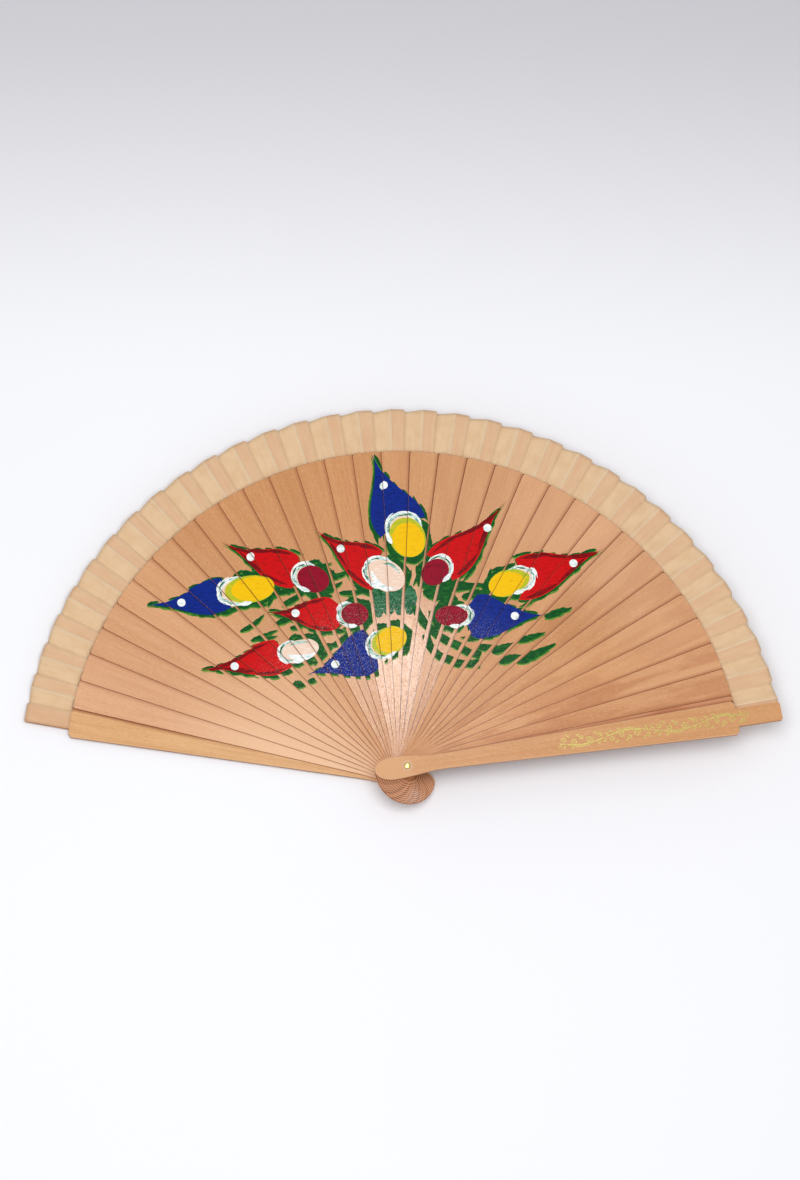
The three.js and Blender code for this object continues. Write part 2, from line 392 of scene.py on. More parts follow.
def unit(v):
    return v / max(v.length, 1e-9)


def left_of(v):
    return Vector((-v.y, v.x))


def bezier(a, b, c, d, count=14):
    """A smooth curve from a towards d, pulled by b and c. It stops one step short of d."""
    return [a * (1 - t) ** 3 + b * 3 * t * (1 - t) ** 2 + c * 3 * t * t * (1 - t) + d * t ** 3
            for t in (k / count for k in range(count))]


def ellipse(centre, direction, long, cross, count=40):
    side = left_of(direction)
    return [centre + direction * long * math.cos(2 * math.pi * k / count)
            + side * cross * math.sin(2 * math.pi * k / count) for k in range(count)]


def brushed(outline, amount, seed):
    """The outline with the uneven edge that a brush leaves."""
    pick = random.Random(seed)
    waves = [(pick.randint(3, 17), pick.uniform(0, 6.28), pick.uniform(0.3, 1.0)) for _ in range(5)]
    out = []
    for k, p in enumerate(outline):
        t = 2 * math.pi * k / len(outline)
        push = sum(h * math.sin(n * t + s) for n, s, h in waves) / 2.2
        along = unit(outline[(k + 1) % len(outline)] - outline[k - 1])
        out.append(p - left_of(along) * push * amount)
    return out


def stroke(a, b, c, width, taper=0.5, seed=None, count=16):
    """A brush stroke from a to c, bent towards b: widest past the middle, and closed at its ends."""
    spine = [a * (1 - t) ** 2 + b * 2 * t * (1 - t) + c * t * t
             for t in (k / (count - 1) for k in range(count))]
    one, other = [], []
    for k, p in enumerate(spine):
        t = k / (count - 1)
        half = width / 2 * max(0.06, math.sin(math.pi * t ** taper)) ** 0.7
        across = left_of(unit(spine[min(k + 1, count - 1)] - spine[max(k - 1, 0)]))
        one.append(p + across * half)
        other.append(p - across * half)
    outline = one + other[::-1]
    return brushed(outline, width * 0.07, seed) if seed else outline


print("an ellipse has", len(ellipse(Vector((0, 0)), Vector((1, 0)), 2, 1)), "points")

# %% [markdown]
# ## Cutting a shape to its stick
# Each stick shows only a wedge, from its own left edge to the left edge of the stick above it.
# Near the rivet the motif leaves a bare strip along the right of each wedge, which narrows outwards
# to nothing, as if it had been painted with the fan a little less spread. A shape is cut by
# those lines one after the other, then raised into a closed slab.

# %% Wedges
NECK = 22              # where a stick's neck ends and its blade begins to widen
NECK_HALF = 4.3
TAPER = 0.0309         # how much wider each side grows, per millimetre
PAINT_FROM = 30        # the paint's limits along a stick
PAINT_TO = RIM - 1.2
BARE_AT = (40, 150)    # where the bare strip's width is given
TUCK = 0.02            # the paint stops this far inside a stick's own edge


def half_width(u):
    return NECK_HALF + (u - NECK) * TAPER


def wedge(i, bare):
    """The lines round the part of stick i that is painted, as (point, inward direction).
    bare is the width left clear beside the next stick, at the two places of BARE_AT."""
    along = polar(blade_angle(i), 1)
    upper = polar(blade_angle(i + 1), 1)
    a, b = (along * u + left_of(along) * (half_width(u) - TUCK) for u in (NECK, RIM))
    lines = [(a, -left_of(unit(b - a)))]
    a, b = (upper * u + left_of(upper) * (half_width(u) + gap) for u, gap in zip(BARE_AT, bare))
    return lines + [(a, left_of(unit(b - a))), (along * PAINT_TO, -along), (along * PAINT_FROM, along)]


def cut(outline, lines):
    """The outline's faces inside all the lines, as a bmesh."""
    bm = bmesh.new()
    bm.faces.new([bm.verts.new((p.x, p.y, 0)) for p in outline])
    for point, inward in lines:
        if not bm.faces:
            break
        bmesh.ops.bisect_plane(
            bm, geom=bm.verts[:] + bm.edges[:] + bm.faces[:], dist=1e-5,
            plane_co=(point.x, point.y, 0), plane_no=(-inward.x, -inward.y, 0), clear_outer=True)
    return bm


def area(outline):
    return sum(p.x * q.y - q.x * p.y for p, q in zip(outline, outline[1:] + outline[:1])) / 2


print("stick 10 shows between", len(wedge(10, (3.0, 0.6))), "lines")

# %% Slabs


def put_in_scene(name, data):
    obj = bpy.data.objects.new(name, data)
    bpy.context.scene.collection.objects.link(obj)
    return obj


MERGE = 0.004          # points closer than this become one
CRUMB = 0.02           # and cut-off bits smaller than this, in square millimetres, are dropped


class Slabs:
    """Collects thin slabs, each with its material, into one mesh."""

    def __init__(self):
        self.verts, self.faces, self.kinds = [], [], []

    def raise_up(self, bm, bottom, top, kind):
        bmesh.ops.remove_doubles(bm, verts=bm.verts[:], dist=MERGE)
        for face in bm.faces[:]:
            if face.calc_area() < CRUMB:
                bm.faces.remove(face)
        bmesh.ops.triangulate(bm, faces=bm.faces[:])
        for face in bm.faces:
            if face.normal.z < 0:
                face.normal_flip()
        start = len(self.verts)
        used = {v: k for k, v in enumerate([v for v in bm.verts if v.link_faces])}
        count = len(used)
        self.verts += [(v.co.x, v.co.y, bottom) for v in used] + [(v.co.x, v.co.y, top) for v in used]
        for face in bm.faces:
            ring = [start + used[v] for v in face.verts]
            self.faces.append(tuple(k + count for k in ring))
            self.faces.append(tuple(reversed(ring)))
            self.kinds += [kind, kind]
            for loop in face.loops:
                if len(loop.edge.link_faces) == 1:
                    p, q = start + used[loop.vert], start + used[loop.link_loop_next.vert]
                    self.faces.append((p, q, q + count, p + count))
                    self.kinds.append(kind)
        bm.free()

    def piece(self, name, materials):
        mesh = bpy.data.meshes.new(name)
        mesh.from_pydata([[c * MM for c in v] for v in self.verts], [], self.faces)
        for material in materials:
            mesh.materials.append(material)
        for face, kind in zip(mesh.polygons, self.kinds):
            face.material_index = kind
        return put_in_scene(name, mesh)


print("bits under", CRUMB, "square mm are dropped")

# %% [markdown]
# ## Enamel paint
# The motif is brushed on in thick opaque colour that dries with a slight gloss and fine ridges.
# Each colour is mixed from two shades in streaks that follow the brush. Close to the rivet, pale
# flecks are painted on it as painted glints of its gloss, and a dark painted shadow lies beside each next
# stick's edge.

# %% The enamel recipe
# the pale colour of the painted glints on the paint
PAINTED_GLINT = linear(232, 226, 214)
EDGE_SHADE = linear(46, 24, 16)
EDGE_FROM_AXIS = 3.62          # a stick's left edge would pass this far from the rivet
WHOLE_STEPS = 48               # added to the count of sticks, so that it is never below nought


def enamel(name, colour, shade, amount, painted_light=0.34):
    """amount says how much of the second shade is brushed in, and the last number how many pale flecks are
    painted near the rivet as painted glints.
    """
    material, tree, bsdf = new_material(
        name, **{"Roughness": 0.4, "Specular IOR Level": 0.05})
    where = add(tree, "ShaderNodeTexCoord").outputs["Object"]
    flat = stretched(tree, where, 1 / MM, 1 / MM, 1 / MM)
    sweep = noise(tree, stretched(tree, flat, 0.28, 0.9, 1, 25), 1.0, 3, 0.6, 0.6)
    body = mix(tree, ramp(tree, sweep, 0.60 - amount * 0.3, 0.72 - amount * 0.1), linear(*colour),
               linear(*shade))
    ridges = noise(tree, stretched(tree, flat, 0.8, 5.0, 1, 70), 1.0, 2, 0.6)
    reach = add(tree, "ShaderNodeVectorMath", {0: flat}, operation="LENGTH").outputs["Value"]
    # pale flecks close to the rivet: painted glints of the gloss
    flecks = ramp(tree, noise(tree, flat, 1.9, 1, 0.5), 0.58, 0.68)
    worn = sums(tree, "MULTIPLY", flecks, ramp(tree, reach, 80, 112, painted_light, 0.0))
    body = mix(tree, worn, body, PAINTED_GLINT)
    # a painted shadow, the dark line beside the next stick's edge: how far round the fan, counted in sticks
    place = add(tree, "ShaderNodeSeparateXYZ", {0: flat})
    round_fan = sums(tree, "ARCTAN2", place.outputs[1], place.outputs[0])
    breadth = sums(tree, "DIVIDE", sums(tree, "MULTIPLY_ADD", reach, TAPER, EDGE_FROM_AXIS), reach)
    counted = sums(tree, "MULTIPLY_ADD", sums(tree, "SUBTRACT", round_fan, breadth),
                   math.degrees(1) / STEP, WHOLE_STEPS - REAR_ANGLE / STEP)
    clear = sums(tree, "MULTIPLY", sums(tree, "FRACT", counted),
                 sums(tree, "MULTIPLY", reach, math.radians(STEP)))
    body = mix(tree, ramp(tree, clear, 0.1, 0.7, 0.66, 0.0), body, EDGE_SHADE)
    tree.links.new(body, bsdf.inputs["Base Color"])
    relief(tree, bsdf, ridges, 0.04, 0.5)
    return material


print("the enamel recipe needs two shades of each colour")

# %% The paint box
PAINTS = {
    "green": enamel("leaf green enamel", (0, 74, 26), (24, 104, 32), 0.45, 0.12),
    "lime": enamel("lime enamel", (92, 142, 48), (38, 104, 38), 0.55),
    "blue": enamel("blue enamel", (6, 38, 132), (0, 24, 100), 0.4),
    "red": enamel("red enamel", (202, 2, 8), (168, 0, 6), 0.3),
    "dark red": enamel("dark red enamel", (112, 0, 8), (150, 2, 10), 0.5),
    "crimson": enamel("maroon enamel", (146, 0, 36), (112, 0, 26), 0.4),
    "yellow": enamel("yellow enamel", (242, 192, 0), (234, 174, 0), 0.3),
    "yellow shade": enamel("yellow green enamel", (176, 186, 40), (226, 196, 30), 0.4),
    "white": enamel("white enamel", (250, 250, 248), (196, 218, 214), 0.6),
    "teal": enamel("sea green enamel", (72, 148, 128), (206, 226, 218), 0.75),
    "blush": enamel("blush enamel", (238, 206, 184), (246, 226, 212), 0.4),
    "deep": enamel("deep green enamel", (10, 84, 50), (64, 126, 86), 0.6, 1.0),
}
KINDS = list(PAINTS)
print("paints:", ", ".join(KINDS))

# %% [markdown]
# ## The painted flowers
# Ten buds lean outwards from the middle of the fan. All are built alike: a long petal with two
# horns, a ring and a round heart that the horns hold, a green shadow line, and a white dot. One
# side of a petal is full. The other is nearly straight and may curl over like a hook at the tip.
# So a single recipe draws all ten from a few numbers each: where the tip and the horns lie
# (degrees round the fan, and millimetres from the rivet), how hooked the tip is, how far the heart
# is pushed out, and its size. It is drawn in the order a painter works in: leaves, petal, ring, heart.

# %% The list of shapes
shapes = []            # (height step, paint, outline)
LIME_SHIFT = Vector((0.2, -0.9))       # lime shows along the lower edge of the green laid over it
GREEN_SHIFT = Vector((0.2, 0.0))


def paint(step, colour, outline):
    if area(outline) < 0:
        outline = outline[::-1]
    shapes.append((step, colour, outline))


def along_side(points, t):
    return points[min(len(points) - 1, int(t * len(points)))]


print("lime lies", -LIME_SHIFT.y, "mm below the green")

# %% A petal


def petal_sides(tip, straight, full, down, across, length, hook):
    side_a = bezier(
        tip, tip + down * length * 0.46 - across * length * hook,
        straight - down * length * 0.32 + across * length * (0.05 + hook / 3), straight)
    side_b = bezier(
        full, full - down * length * 0.36 - across * length * 0.17,
        tip + down * length * 0.40 - across * length * 0.03, tip)
    return side_a, side_b


def short_pulls(side_a, side_b, down, across, length, pick, seed):
    """Short green pulls of the brush along both sides, each over a lime one."""
    for n in range(12):
        t = 0.06 + 0.15 * (n % 6) + pick.uniform(0, 0.06)
        on, away = (along_side(side_a, t), across) if n < 6 else (along_side(side_b, 1 - t), -across)
        start = on + away * pick.uniform(0.0, 1.3)
        end = start + down * length * pick.uniform(0.14, 0.26) + away * pick.uniform(-0.4, 1.3)
        for step, colour, shift in ((0, "lime", LIME_SHIFT), (1, "green", GREEN_SHIFT)):
            paint(step, colour, stroke(start + shift, (start + end) / 2 + away * 0.5 + shift,
                                       end + shift, pick.uniform(1.2, 2.6), 0.8, seed + 30 + n))


def dark_strokes(side_a, side_b, across, pick, seed):
    """Five darker strokes just inside a red petal, three along one side and two along the other."""
    for n, t in enumerate((0.12, 0.34, 0.6, 0.2, 0.55)):
        inner = -across if n < 3 else across
        side, onward = (side_a, 0.36) if n < 3 else (side_b[::-1], 0.34)
        insets = (1.0, pick.uniform(1.0, 1.9), pick.uniform(0.8, 2.4))
        start, half_way, end = (along_side(side, t + onward * k / 2) + inner * inset
                                for k, inset in enumerate(insets))
        paint(4, "dark red", stroke(start, half_way, end, pick.uniform(1.5, 2.8),
                                    pick.uniform(0.5, 1.3), seed + 50 + n))


print("a petal has two sides, twelve pulls and up to five dark strokes")

# %% What the horns hold


def heart_leaves(centre, down, across, long, cross, seed):
    """Green leaves behind the heart, with short strokes all round them."""
    lime = ellipse(centre + down * 2.2 - across * 1.0, down, long * 1.14, cross * 1.28)
    paint(1, "lime", brushed(lime, 0.6, seed + 5))
    green = ellipse(centre + down * 1.3, down, long * 1.12, cross * 1.24)
    paint(2, "green", brushed(green, 0.6, seed + 6))
    for n, turn in enumerate((-105, -78, -50, -22, 6, 34, 62, 90, 112)):
        way = Matrix.Rotation(math.radians(turn), 2) @ down
        rim = centre + down * way.dot(down) * long + left_of(down) * way.dot(left_of(down)) * cross
        sweep = left_of(way) * (1 if n % 2 else -1)
        for step, colour, nudge in ((1, "lime", LIME_SHIFT), (2, "green", GREEN_SHIFT)):
            shift = nudge + way * 0.9
            paint(step, colour, stroke(rim - sweep * 3.4 + shift, rim + way * 1.3 + shift,
                                       rim + sweep * 4.2 + way * 2.4 + shift, 2.3, 0.9, seed + 40 + n))


def ring(at, down, long, cross, pick, seed):
    """White, sea green and blush, one inside the other, with sixteen brushed arcs over them."""
    paint(5, "white", brushed(ellipse(at, down, long * 0.80, cross * 1.06), 0.35, seed + 7))
    paint(6, "teal", brushed(ellipse(at + down * 0.7, down, long * 0.76, cross * 0.97), 0.5, seed + 8))
    paint(7, "blush", brushed(ellipse(at + down * 1.6, down, long * 0.72, cross * 0.86), 0.3, seed + 9))
    for n in range(16):
        way = Matrix.Rotation(math.radians(112 + 9 * n + pick.uniform(-6, 6)), 2) @ Vector((1, 0))
        wide = pick.uniform(0.74, 1.08)
        rim = at + down * way.x * long * wide * 0.76 + left_of(down) * way.y * cross * wide
        sweep = (left_of(down) * way.x - down * way.y) * pick.uniform(1.6, 3.6)
        colour = ("white", "teal", "white", "green")[n % 4 if wide < 0.95 else 0]
        paint(7 + n % 2, colour,
              stroke(rim - sweep, rim - down * pick.uniform(0.4, 1.2), rim + sweep,
                     pick.uniform(0.4, 0.9), 0.9, seed + 60 + n))


def heart_of(kind, centre, down, across, long, cross, seed):
    """The round heart: plain maroon, yellow with a greener rim, or blush with two curved strokes."""
    paint(9, "yellow shade" if kind == "yellow" else kind, ellipse(centre, down, long, cross))
    if kind == "yellow":
        light = ellipse(centre + down * long * 0.13, down, long * 0.86, cross * 0.88)
        paint(10, "yellow", brushed(light, 0.25, seed + 10))
    elif kind == "blush":
        paint(10, "white", stroke(centre - down * long * 0.8 - across * cross * 0.25,
                                 centre - across * cross * 1.15,
                                 centre + down * long * 0.75 - across * cross * 0.45,
                                 3.4, 0.9, seed + 11))
        paint(10, "teal", stroke(centre - down * long * 0.55 + across * cross * 0.6,
                                centre + across * cross * 0.95,
                                centre + down * long * 0.5 + across * cross * 0.6,
                                1.6, 0.9, seed + 12))


print("hearts: crimson, yellow or blush")

# %% The bud recipe


def bud(tip, straight, full, hook, push, long, cross, petal, heart, seed):
    tip, straight, full = polar(*tip), polar(*straight), polar(*full)
    base = (straight + full) / 2
    length = (base - tip).length
    down = unit(base - tip)
    across = unit(straight - base - down * (straight - base).dot(down))
    centre = base + down * push

    side_a, side_b = petal_sides(tip, straight, full, down, across, length, hook)
    bulge = max(-0.35 * long, (push - 1.18 * long + 2.5) * 1.33)
    hollow = bezier(straight, base + down * bulge + across * cross * 0.5,
                    base + down * bulge - across * cross * 0.5, full)
    outline = side_a + hollow + side_b
    middle = tip + down * length * 0.6
    for step, colour, aside, grow in ((0, "lime", 1.5, 0.015), (1, "green", 0.5, 0.03)):
        shadow = [p - across * aside + (p - middle) * grow for p in outline]
        paint(step, colour, brushed(shadow, 0.35, seed + step))
    pick = random.Random(seed)
    short_pulls(side_a, side_b, down, across, length, pick, seed)
    paint(3, petal, outline)
    if petal == "red":
        dark_strokes(side_a, side_b, across, pick, seed)

    heart_leaves(centre, down, across, long, cross, seed)
    ring_at = centre - down * long * 0.52
    ring(ring_at, down, long, cross, pick, seed)
    heart_of(heart, centre, down, across, long, cross, seed)
    end = ring_at - across * cross * 0.95 + down * long * 0.30
    paint(11, "white", stroke(end - down * 4.5, end - down * 1 - across * 0.8, end + down * 3.2,
                             2.6, 1.2, seed + 13))
    dot = tip + (base - tip) * (0.45 - hook) - across * 35 * hook
    paint(12, "white", ellipse(dot, down, 2.3, 2.3, 24))


print("a bud is built in height steps 0 to 12")

# %% Ten buds
BUDS = [
    # tip, straight-side horn, full-side horn, hook, push, heart's length and breadth, petal, heart
    ((95, 186), (85, 148), (95, 137), 0.03, 6.5, 12, 10, "blue", "yellow"),
    ((109, 149), (95, 129), (99, 107), 0.03, 6, 11, 8.5, "red", "blush"),
    ((127, 167), (115, 139), (120, 123), 0.05, 11, 9.2, 7.5, "red", "crimson"),
    ((146, 172), (132, 151), (135, 135), 0.03, 13, 14, 8, "blue", "yellow"),
    ((129, 120), (112, 109), (114, 91), 0.02, 12, 7.5, 6.7, "red", "crimson"),
    ((152, 127), (133, 105), (135, 87), 0.05, 10, 10, 6, "red", "blush"),
    ((133, 78), (105, 86), (103, 62), 0.02, 11, 10, 8, "blue", "yellow"),
    ((70, 168), (84, 126), (76, 114), 0.11, 3.5, 8.5, 7, "red", "crimson"),
    ((49, 173), (63, 139), (57, 118), 0.07, 5, 12, 7.5, "red", "yellow"),
    ((49, 120), (68, 110), (64, 87), 0.02, 13, 9, 6, "blue", "crimson"),
]
for k, row in enumerate(BUDS):
    bud(*row, seed=100 + 20 * k)
print(len(BUDS), "buds from", len(shapes), "shapes")

# %% [markdown]
# ## Leaves and vine
# Between the buds run short green strokes, and two vines curl down to the right. Each stroke is one
# pull of a flat brush, so it is one tapered shape, with a lime one under it that shows along its
# lower edge. A vine is a ribbon of even width, which the bare strips beside the sticks cut into
# dashes. A dark green middle lies where the buds meet.

# %% Strokes between the buds


def leaf_stroke(a, b, c, width, seed):
    a, b, c = polar(*a), polar(*b), polar(*c)
    under = (p + LIME_SHIFT for p in (a, b, c))
    paint(0, "lime", stroke(*under, width, 0.7, seed + 1))
    paint(2, "green", stroke(a, b, c, width, 0.7, seed))


STROKES = [          # start, bend and end, each as (degrees, millimetres), and the width
    ((48.5, 118), (47, 126), (45.2, 133), 4.2), ((50, 97), (47.5, 104), (45.5, 112), 3.6),
    ((54.5, 84), (52, 90), (50, 97), 4.2), ((45, 88), (42.5, 98), (41.2, 112), 5.0),
    ((50, 81), (48, 87), (45.6, 93), 4.6), ((61, 82), (57, 84), (53, 90), 4.0),
    ((116, 118), (111, 112), (107, 116), 4.0), ((112, 124), (108, 117), (104, 122), 3.6),
    ((122, 98), (117, 92), (112, 88), 3.6), ((119, 84), (114, 82), (110, 88), 3.4),
    ((104, 112), (100, 106), (96, 104), 4.4), ((127, 105), (123, 101), (118, 104), 3.4),
    ((138, 122), (134, 118), (130, 120), 2.8), ((125, 118), (121, 116), (116, 120), 3.4),
    ((139, 100), (137, 93), (133, 84), 2.6), ((91, 122), (89, 116), (90, 108), 3.4),
    ((84, 124), (85, 116), (87, 108), 3.0), ((84, 104), (78, 106), (73, 104), 8.0),
    ((72, 106), (68, 112), (63, 114), 5.0), ((97, 78), (94, 72), (95, 66), 3.0),
    ((82, 108), (75, 111), (66, 118), 6.0), ((118, 130), (113, 127), (108, 128), 3.4),
    ((136, 134), (131, 131), (125, 130), 3.2), ((130, 112), (125, 109), (119, 112), 3.6),
    ((128, 90), (123, 86), (117, 84), 3.8), ((110, 100), (105, 97), (99, 96), 4.6),
    ((143, 104), (140, 99), (136, 94), 2.6), ((104, 132), (101, 126), (99, 118), 3.2),
    ((140, 80), (138, 77), (136, 74), 4.4), ((135, 75), (133, 73), (130, 72), 3.0),
    ((126, 80), (122, 81), (116, 85), 2.4), ((125, 75), (121, 77), (115, 81), 2.4),
    ((138, 114), (135, 111), (130, 108), 2.6), ((126, 127), (122, 123), (117, 120), 2.8),
    ((119, 122), (114, 118), (109, 115), 2.6), ((109, 110), (105, 108), (100, 107), 3.0),
]
for k, (a, b, c, width) in enumerate(STROKES):
    leaf_stroke(a, b, c, width, 400 + 2 * k)

print(len(STROKES), "strokes between the buds")

# %% The middle and the vines
for k in range(4):                     # the dark middle that all the buds grow from
    a = 98.5 - 3.6 * k
    paint(2, "deep", brushed(ellipse(polar(a, 99), polar(a, 1), 8.6, 3.6, 28), 0.5, 500 + k))
VINES = [((86, 96), (82, 80), (68, 78), (56, 79)), ((81, 80), (78, 68), (68, 66), (54, 76))]
VINE_WIDTH = 4.6
VINE_POINTS = 24
for k, points in enumerate(VINES):
    spine = bezier(*(polar(*p) for p in points), count=VINE_POINTS)
    one, other = [], []
    for n, p in enumerate(spine):
        onward = unit(spine[min(n + 1, VINE_POINTS - 1)] - spine[max(n - 1, 0)])
        half = left_of(onward) * VINE_WIDTH * 0.5
        one.append(p + half)
        other.append(p - half)
    outline = one + other[::-1]
    paint(0, "lime", brushed([p + Vector((0.2, -0.8)) for p in outline], 0.25, 520 + k))
    paint(2, "green", brushed(outline, 0.25, 530 + k))
print(len(shapes), "painted shapes in all")

# %% [markdown]
# ## Coats of paint
# Enamel is laid on in coats, and a later one hides an earlier. Two flat shapes at one height would
# flicker where they cross, so each shape lies one coat above whatever it crosses. The coats
# share out a thickness that is less than the air between two sticks, however many there are.

# %% Count the coats
PAINT_THICK = 0.068
SUNK = 0.004           # how deep the paint's underside sits in the wood
FIRST_COAT = 0.006
shapes.sort(key=lambda shape: shape[0])
spans = [(min(p.x for p in o), max(p.x for p in o), min(p.y for p in o), max(p.y for p in o))
         for _, _, o in shapes]
coats = []
for k, (x0, x1, y0, y1) in enumerate(spans):
    under = [coats[n] for n in range(k) if spans[n][0] < x1 + 1 and spans[n][1] > x0 - 1
             and spans[n][2] < y1 + 1 and spans[n][3] > y0 - 1]
    coats.append(1 + max(under, default=0))
COAT = PAINT_THICK / max(coats)
print("coats:", max(coats), "each", round(COAT, 4), "mm")

# %% Paint on every stick
# The petals fill a wedge, and the green strokes leave the bare strip. Each stick's share of the
# motif slips up to half a millimetre along it, because sticks never lie quite as they were painted.
painted = []
for i in range(1, STICKS):
    full, strokes = wedge(i, (-0.1, -0.1)), wedge(i, (3.0, 0.6))
    slip = polar(blade_angle(i), random.Random(900 + i).uniform(-0.5, 0.5))
    slabs = Slabs()
    for (step, colour, outline), coat in zip(shapes, coats):
        lines = strokes if colour in ("green", "lime", "deep") else full
        if any(all((p - at).dot(inward) < 0 for p in outline) for at, inward in lines[:2]):
            continue
        bm = cut([p + slip for p in outline], lines)
        if bm.faces:
            slabs.raise_up(bm, blade_top(i) - SUNK, blade_top(i) + FIRST_COAT + COAT * coat,
                           KINDS.index(colour))
        else:
            bm.free()
    if slabs.faces:
        obj = slabs.piece(f"paint_{NAMES[i]}", PAINTS.values())
        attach(obj, NAMES[i])
        painted.append(obj)
print("painted sticks:", len(painted), "with", sum(len(o.data.polygons) for o in painted), "faces")

# %% [markdown]
# ## The gilded scroll on the front guard
# The top guard carries a running scroll in gold. A wavy stem, a curl in each bend and a few small
# leaves repeat along it, so the scroll comes from one wave and a loop over its bends. It is
# raised like the paint, in a metal finish with a fine leafed grain.

# %% Gold finish
gold, tree, bsdf = new_material("worn gold leaf", **{"Metallic": 0.25, "Roughness": 0.5})
where = stretched(tree, add(tree, "ShaderNodeTexCoord").outputs["Object"], 1 / MM, 1 / MM, 1 / MM)
leafing = noise(tree, where, 1.6, 3, 0.6)
tree.links.new(mix(tree, ramp(tree, leafing, 0.35, 0.7), linear(204, 182, 100), linear(158, 136, 68)),
               bsdf.inputs["Base Color"])
relief(tree, bsdf, leafing, 0.03, 0.6)
print("finish:", gold.name)

# %% Strokes of gold
guard_along = polar(FRONT_ANGLE, 1)
guard_left = left_of(guard_along)


def on_guard(u, v):
    return guard_along * u + guard_left * v


scroll = Slabs()
GOLD_THICK = 0.02
GOLD_SUNK = 0.01
GOLD_RISE = 0.000004   # a face, so that a later stroke is a hair higher than an earlier one


def gild(outline):
    """One stroke of gold. No two are as high, so that crossing strokes share no surface."""
    if area(outline) < 0:
        outline = outline[::-1]
    rise = GOLD_THICK + GOLD_RISE * len(scroll.faces)
    scroll.raise_up(cut(outline, []), FRONT_TOP - GOLD_SUNK, FRONT_TOP + rise, 0)


def ribbon(points, width):
    edges = []
    for n, p in enumerate(points):
        across = left_of(unit(points[min(n + 1, len(points) - 1)] - points[max(n - 1, 0)]))
        t = n / (len(points) - 1)
        edges.append((p, across * width / 2 * (0.35 + 0.65 * math.sin(math.pi * t) ** 0.5)))
    gild([p + e for p, e in edges] + [p - e for p, e in edges][::-1])


CURL_STEPS = 17


def curl(eye, start, turns, size, side):
    """A tight spiral that opens away from its eye, as points from the eye outwards."""
    points = []
    for n in range(CURL_STEPS + 1):
        a = start + turns * 2 * math.pi * n / CURL_STEPS
        way = guard_along * math.cos(a) + guard_left * math.sin(a) * side
        points.append(eye + way * size * (0.18 + 0.82 * n / CURL_STEPS))
    return points


print("a curl has", CURL_STEPS + 1, "points")

# %% The running scroll
# Places are parts of one unit's length along the guard, and millimetres off its middle line.
UNITS = 4
first, last = 85.0, 193.0
span = (last - first) / UNITS
CURLS = (              # place, offset, starting angle, turns, size
    (0.13, -1.3, 4.0, -1.2, 1.6), (0.33, 0.0, 0.4, 1.4, 2.0), (0.50, -2.0, 3.4, 1.0, 1.3),
    (0.66, -0.3, 2.6, -1.5, 2.2), (0.90, -1.9, 4.2, 1.2, 1.5),
)
SPRIGS = (             # place, offset, and the side that its three leaves lean to
    (0.02, 1.0, 1), (0.10, 2.2, 1), (0.20, -3.0, -1), (0.26, 3.0, 1), (0.84, 2.0, 1),
    (0.42, -2.6, -1), (0.78, -2.6, -1), (0.96, 1.3, 1),
)
for k in range(UNITS):
    side = 1 if k % 2 else -1
    start = first + span * k
    stem = [on_guard(start + span * t, side * 2.3 * math.sin(math.pi * t))
            for t in (n / 20 for n in range(21))]
    ribbon(stem, 1.0)
    ribbon([p + guard_left * side * 1.0 for p in stem[5:14]], 0.55)
    for t, base, begin, turns, size in CURLS:
        ribbon(curl(on_guard(start + span * t, side * base), begin, turns, size, side), 0.74)
    for t, base, lean in SPRIGS:
        at = on_guard(start + span * t, side * base)
        for fan_out in (-0.9, 0.0, 0.9):
            a = fan_out + 0.9
            way = guard_along * math.cos(a) + guard_left * side * lean * math.sin(a)
            gild(stroke(at + way * 0.4, at + way * 0.9, at + way * 1.7 + guard_along * 0.2, 0.7, 0.8))
gilding = scroll.piece("gilded_scroll", [gold])
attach(gilding, "front_guard")
print("scroll:", len(gilding.data.polygons), "faces over", round(last - first), "mm")

# %% [markdown]
# ## The pleated leaf
# The leaf is one narrow strip of thin cotton, glued to a rib at the end of each stick and folded to
# and fro between them. It has to open and close with the sticks, and no rigid piece could do that.
# So it is made as one fold per stick, running from the rib at the end of that stick over to the
# next one. Each fold is a fine grid with real thickness, hangs a little between the ribs, and its
# outer edge dips at the valley as a folded edge does.

# %% Cotton finish
cotton, tree, bsdf = new_material("thin cream cotton", **{
    "Roughness": 0.85, "Specular IOR Level": 0.25, "Sheen Weight": 0.25, "Sheen Roughness": 0.5})
thread = add(tree, "ShaderNodeAttribute", attribute_name="thread").outputs["Vector"]
behind = add(tree, "ShaderNodeAttribute", attribute_name="behind").outputs["Fac"]
crest_highlight = add(tree, "ShaderNodeAttribute", attribute_name="crest_highlight").outputs["Fac"]
run = add(tree, "ShaderNodeSeparateXYZ", {0: thread})
THREAD = 0.42          # from one thread to the next
warp = sums(tree, "SINE", sums(tree, "MULTIPLY", run.outputs[0], 2 * math.pi / THREAD))
weft = sums(tree, "SINE", sums(tree, "MULTIPLY", run.outputs[1], 2 * math.pi / THREAD))
weave = sums(tree, "MULTIPLY", warp, weft)
slubs = noise(tree, stretched(tree, thread, 0.5, 0.06), 1.0, 3, 0.6)
cloud = noise(tree, thread, 0.12, 2, 0.5)
tone = mix(tree, ramp(tree, cloud, 0.35, 0.7), linear(232, 199, 160), linear(227, 191, 150))
tone = mix(tree, ramp(tree, slubs, 0.45, 0.75, 0.0, 0.35), tone, linear(212, 172, 128))
tone = mix(tree, sums(tree, "MULTIPLY", behind, ramp(tree, slubs, 0.3, 0.7, 0.45, 0.75)), tone,
           linear(220, 174, 136))
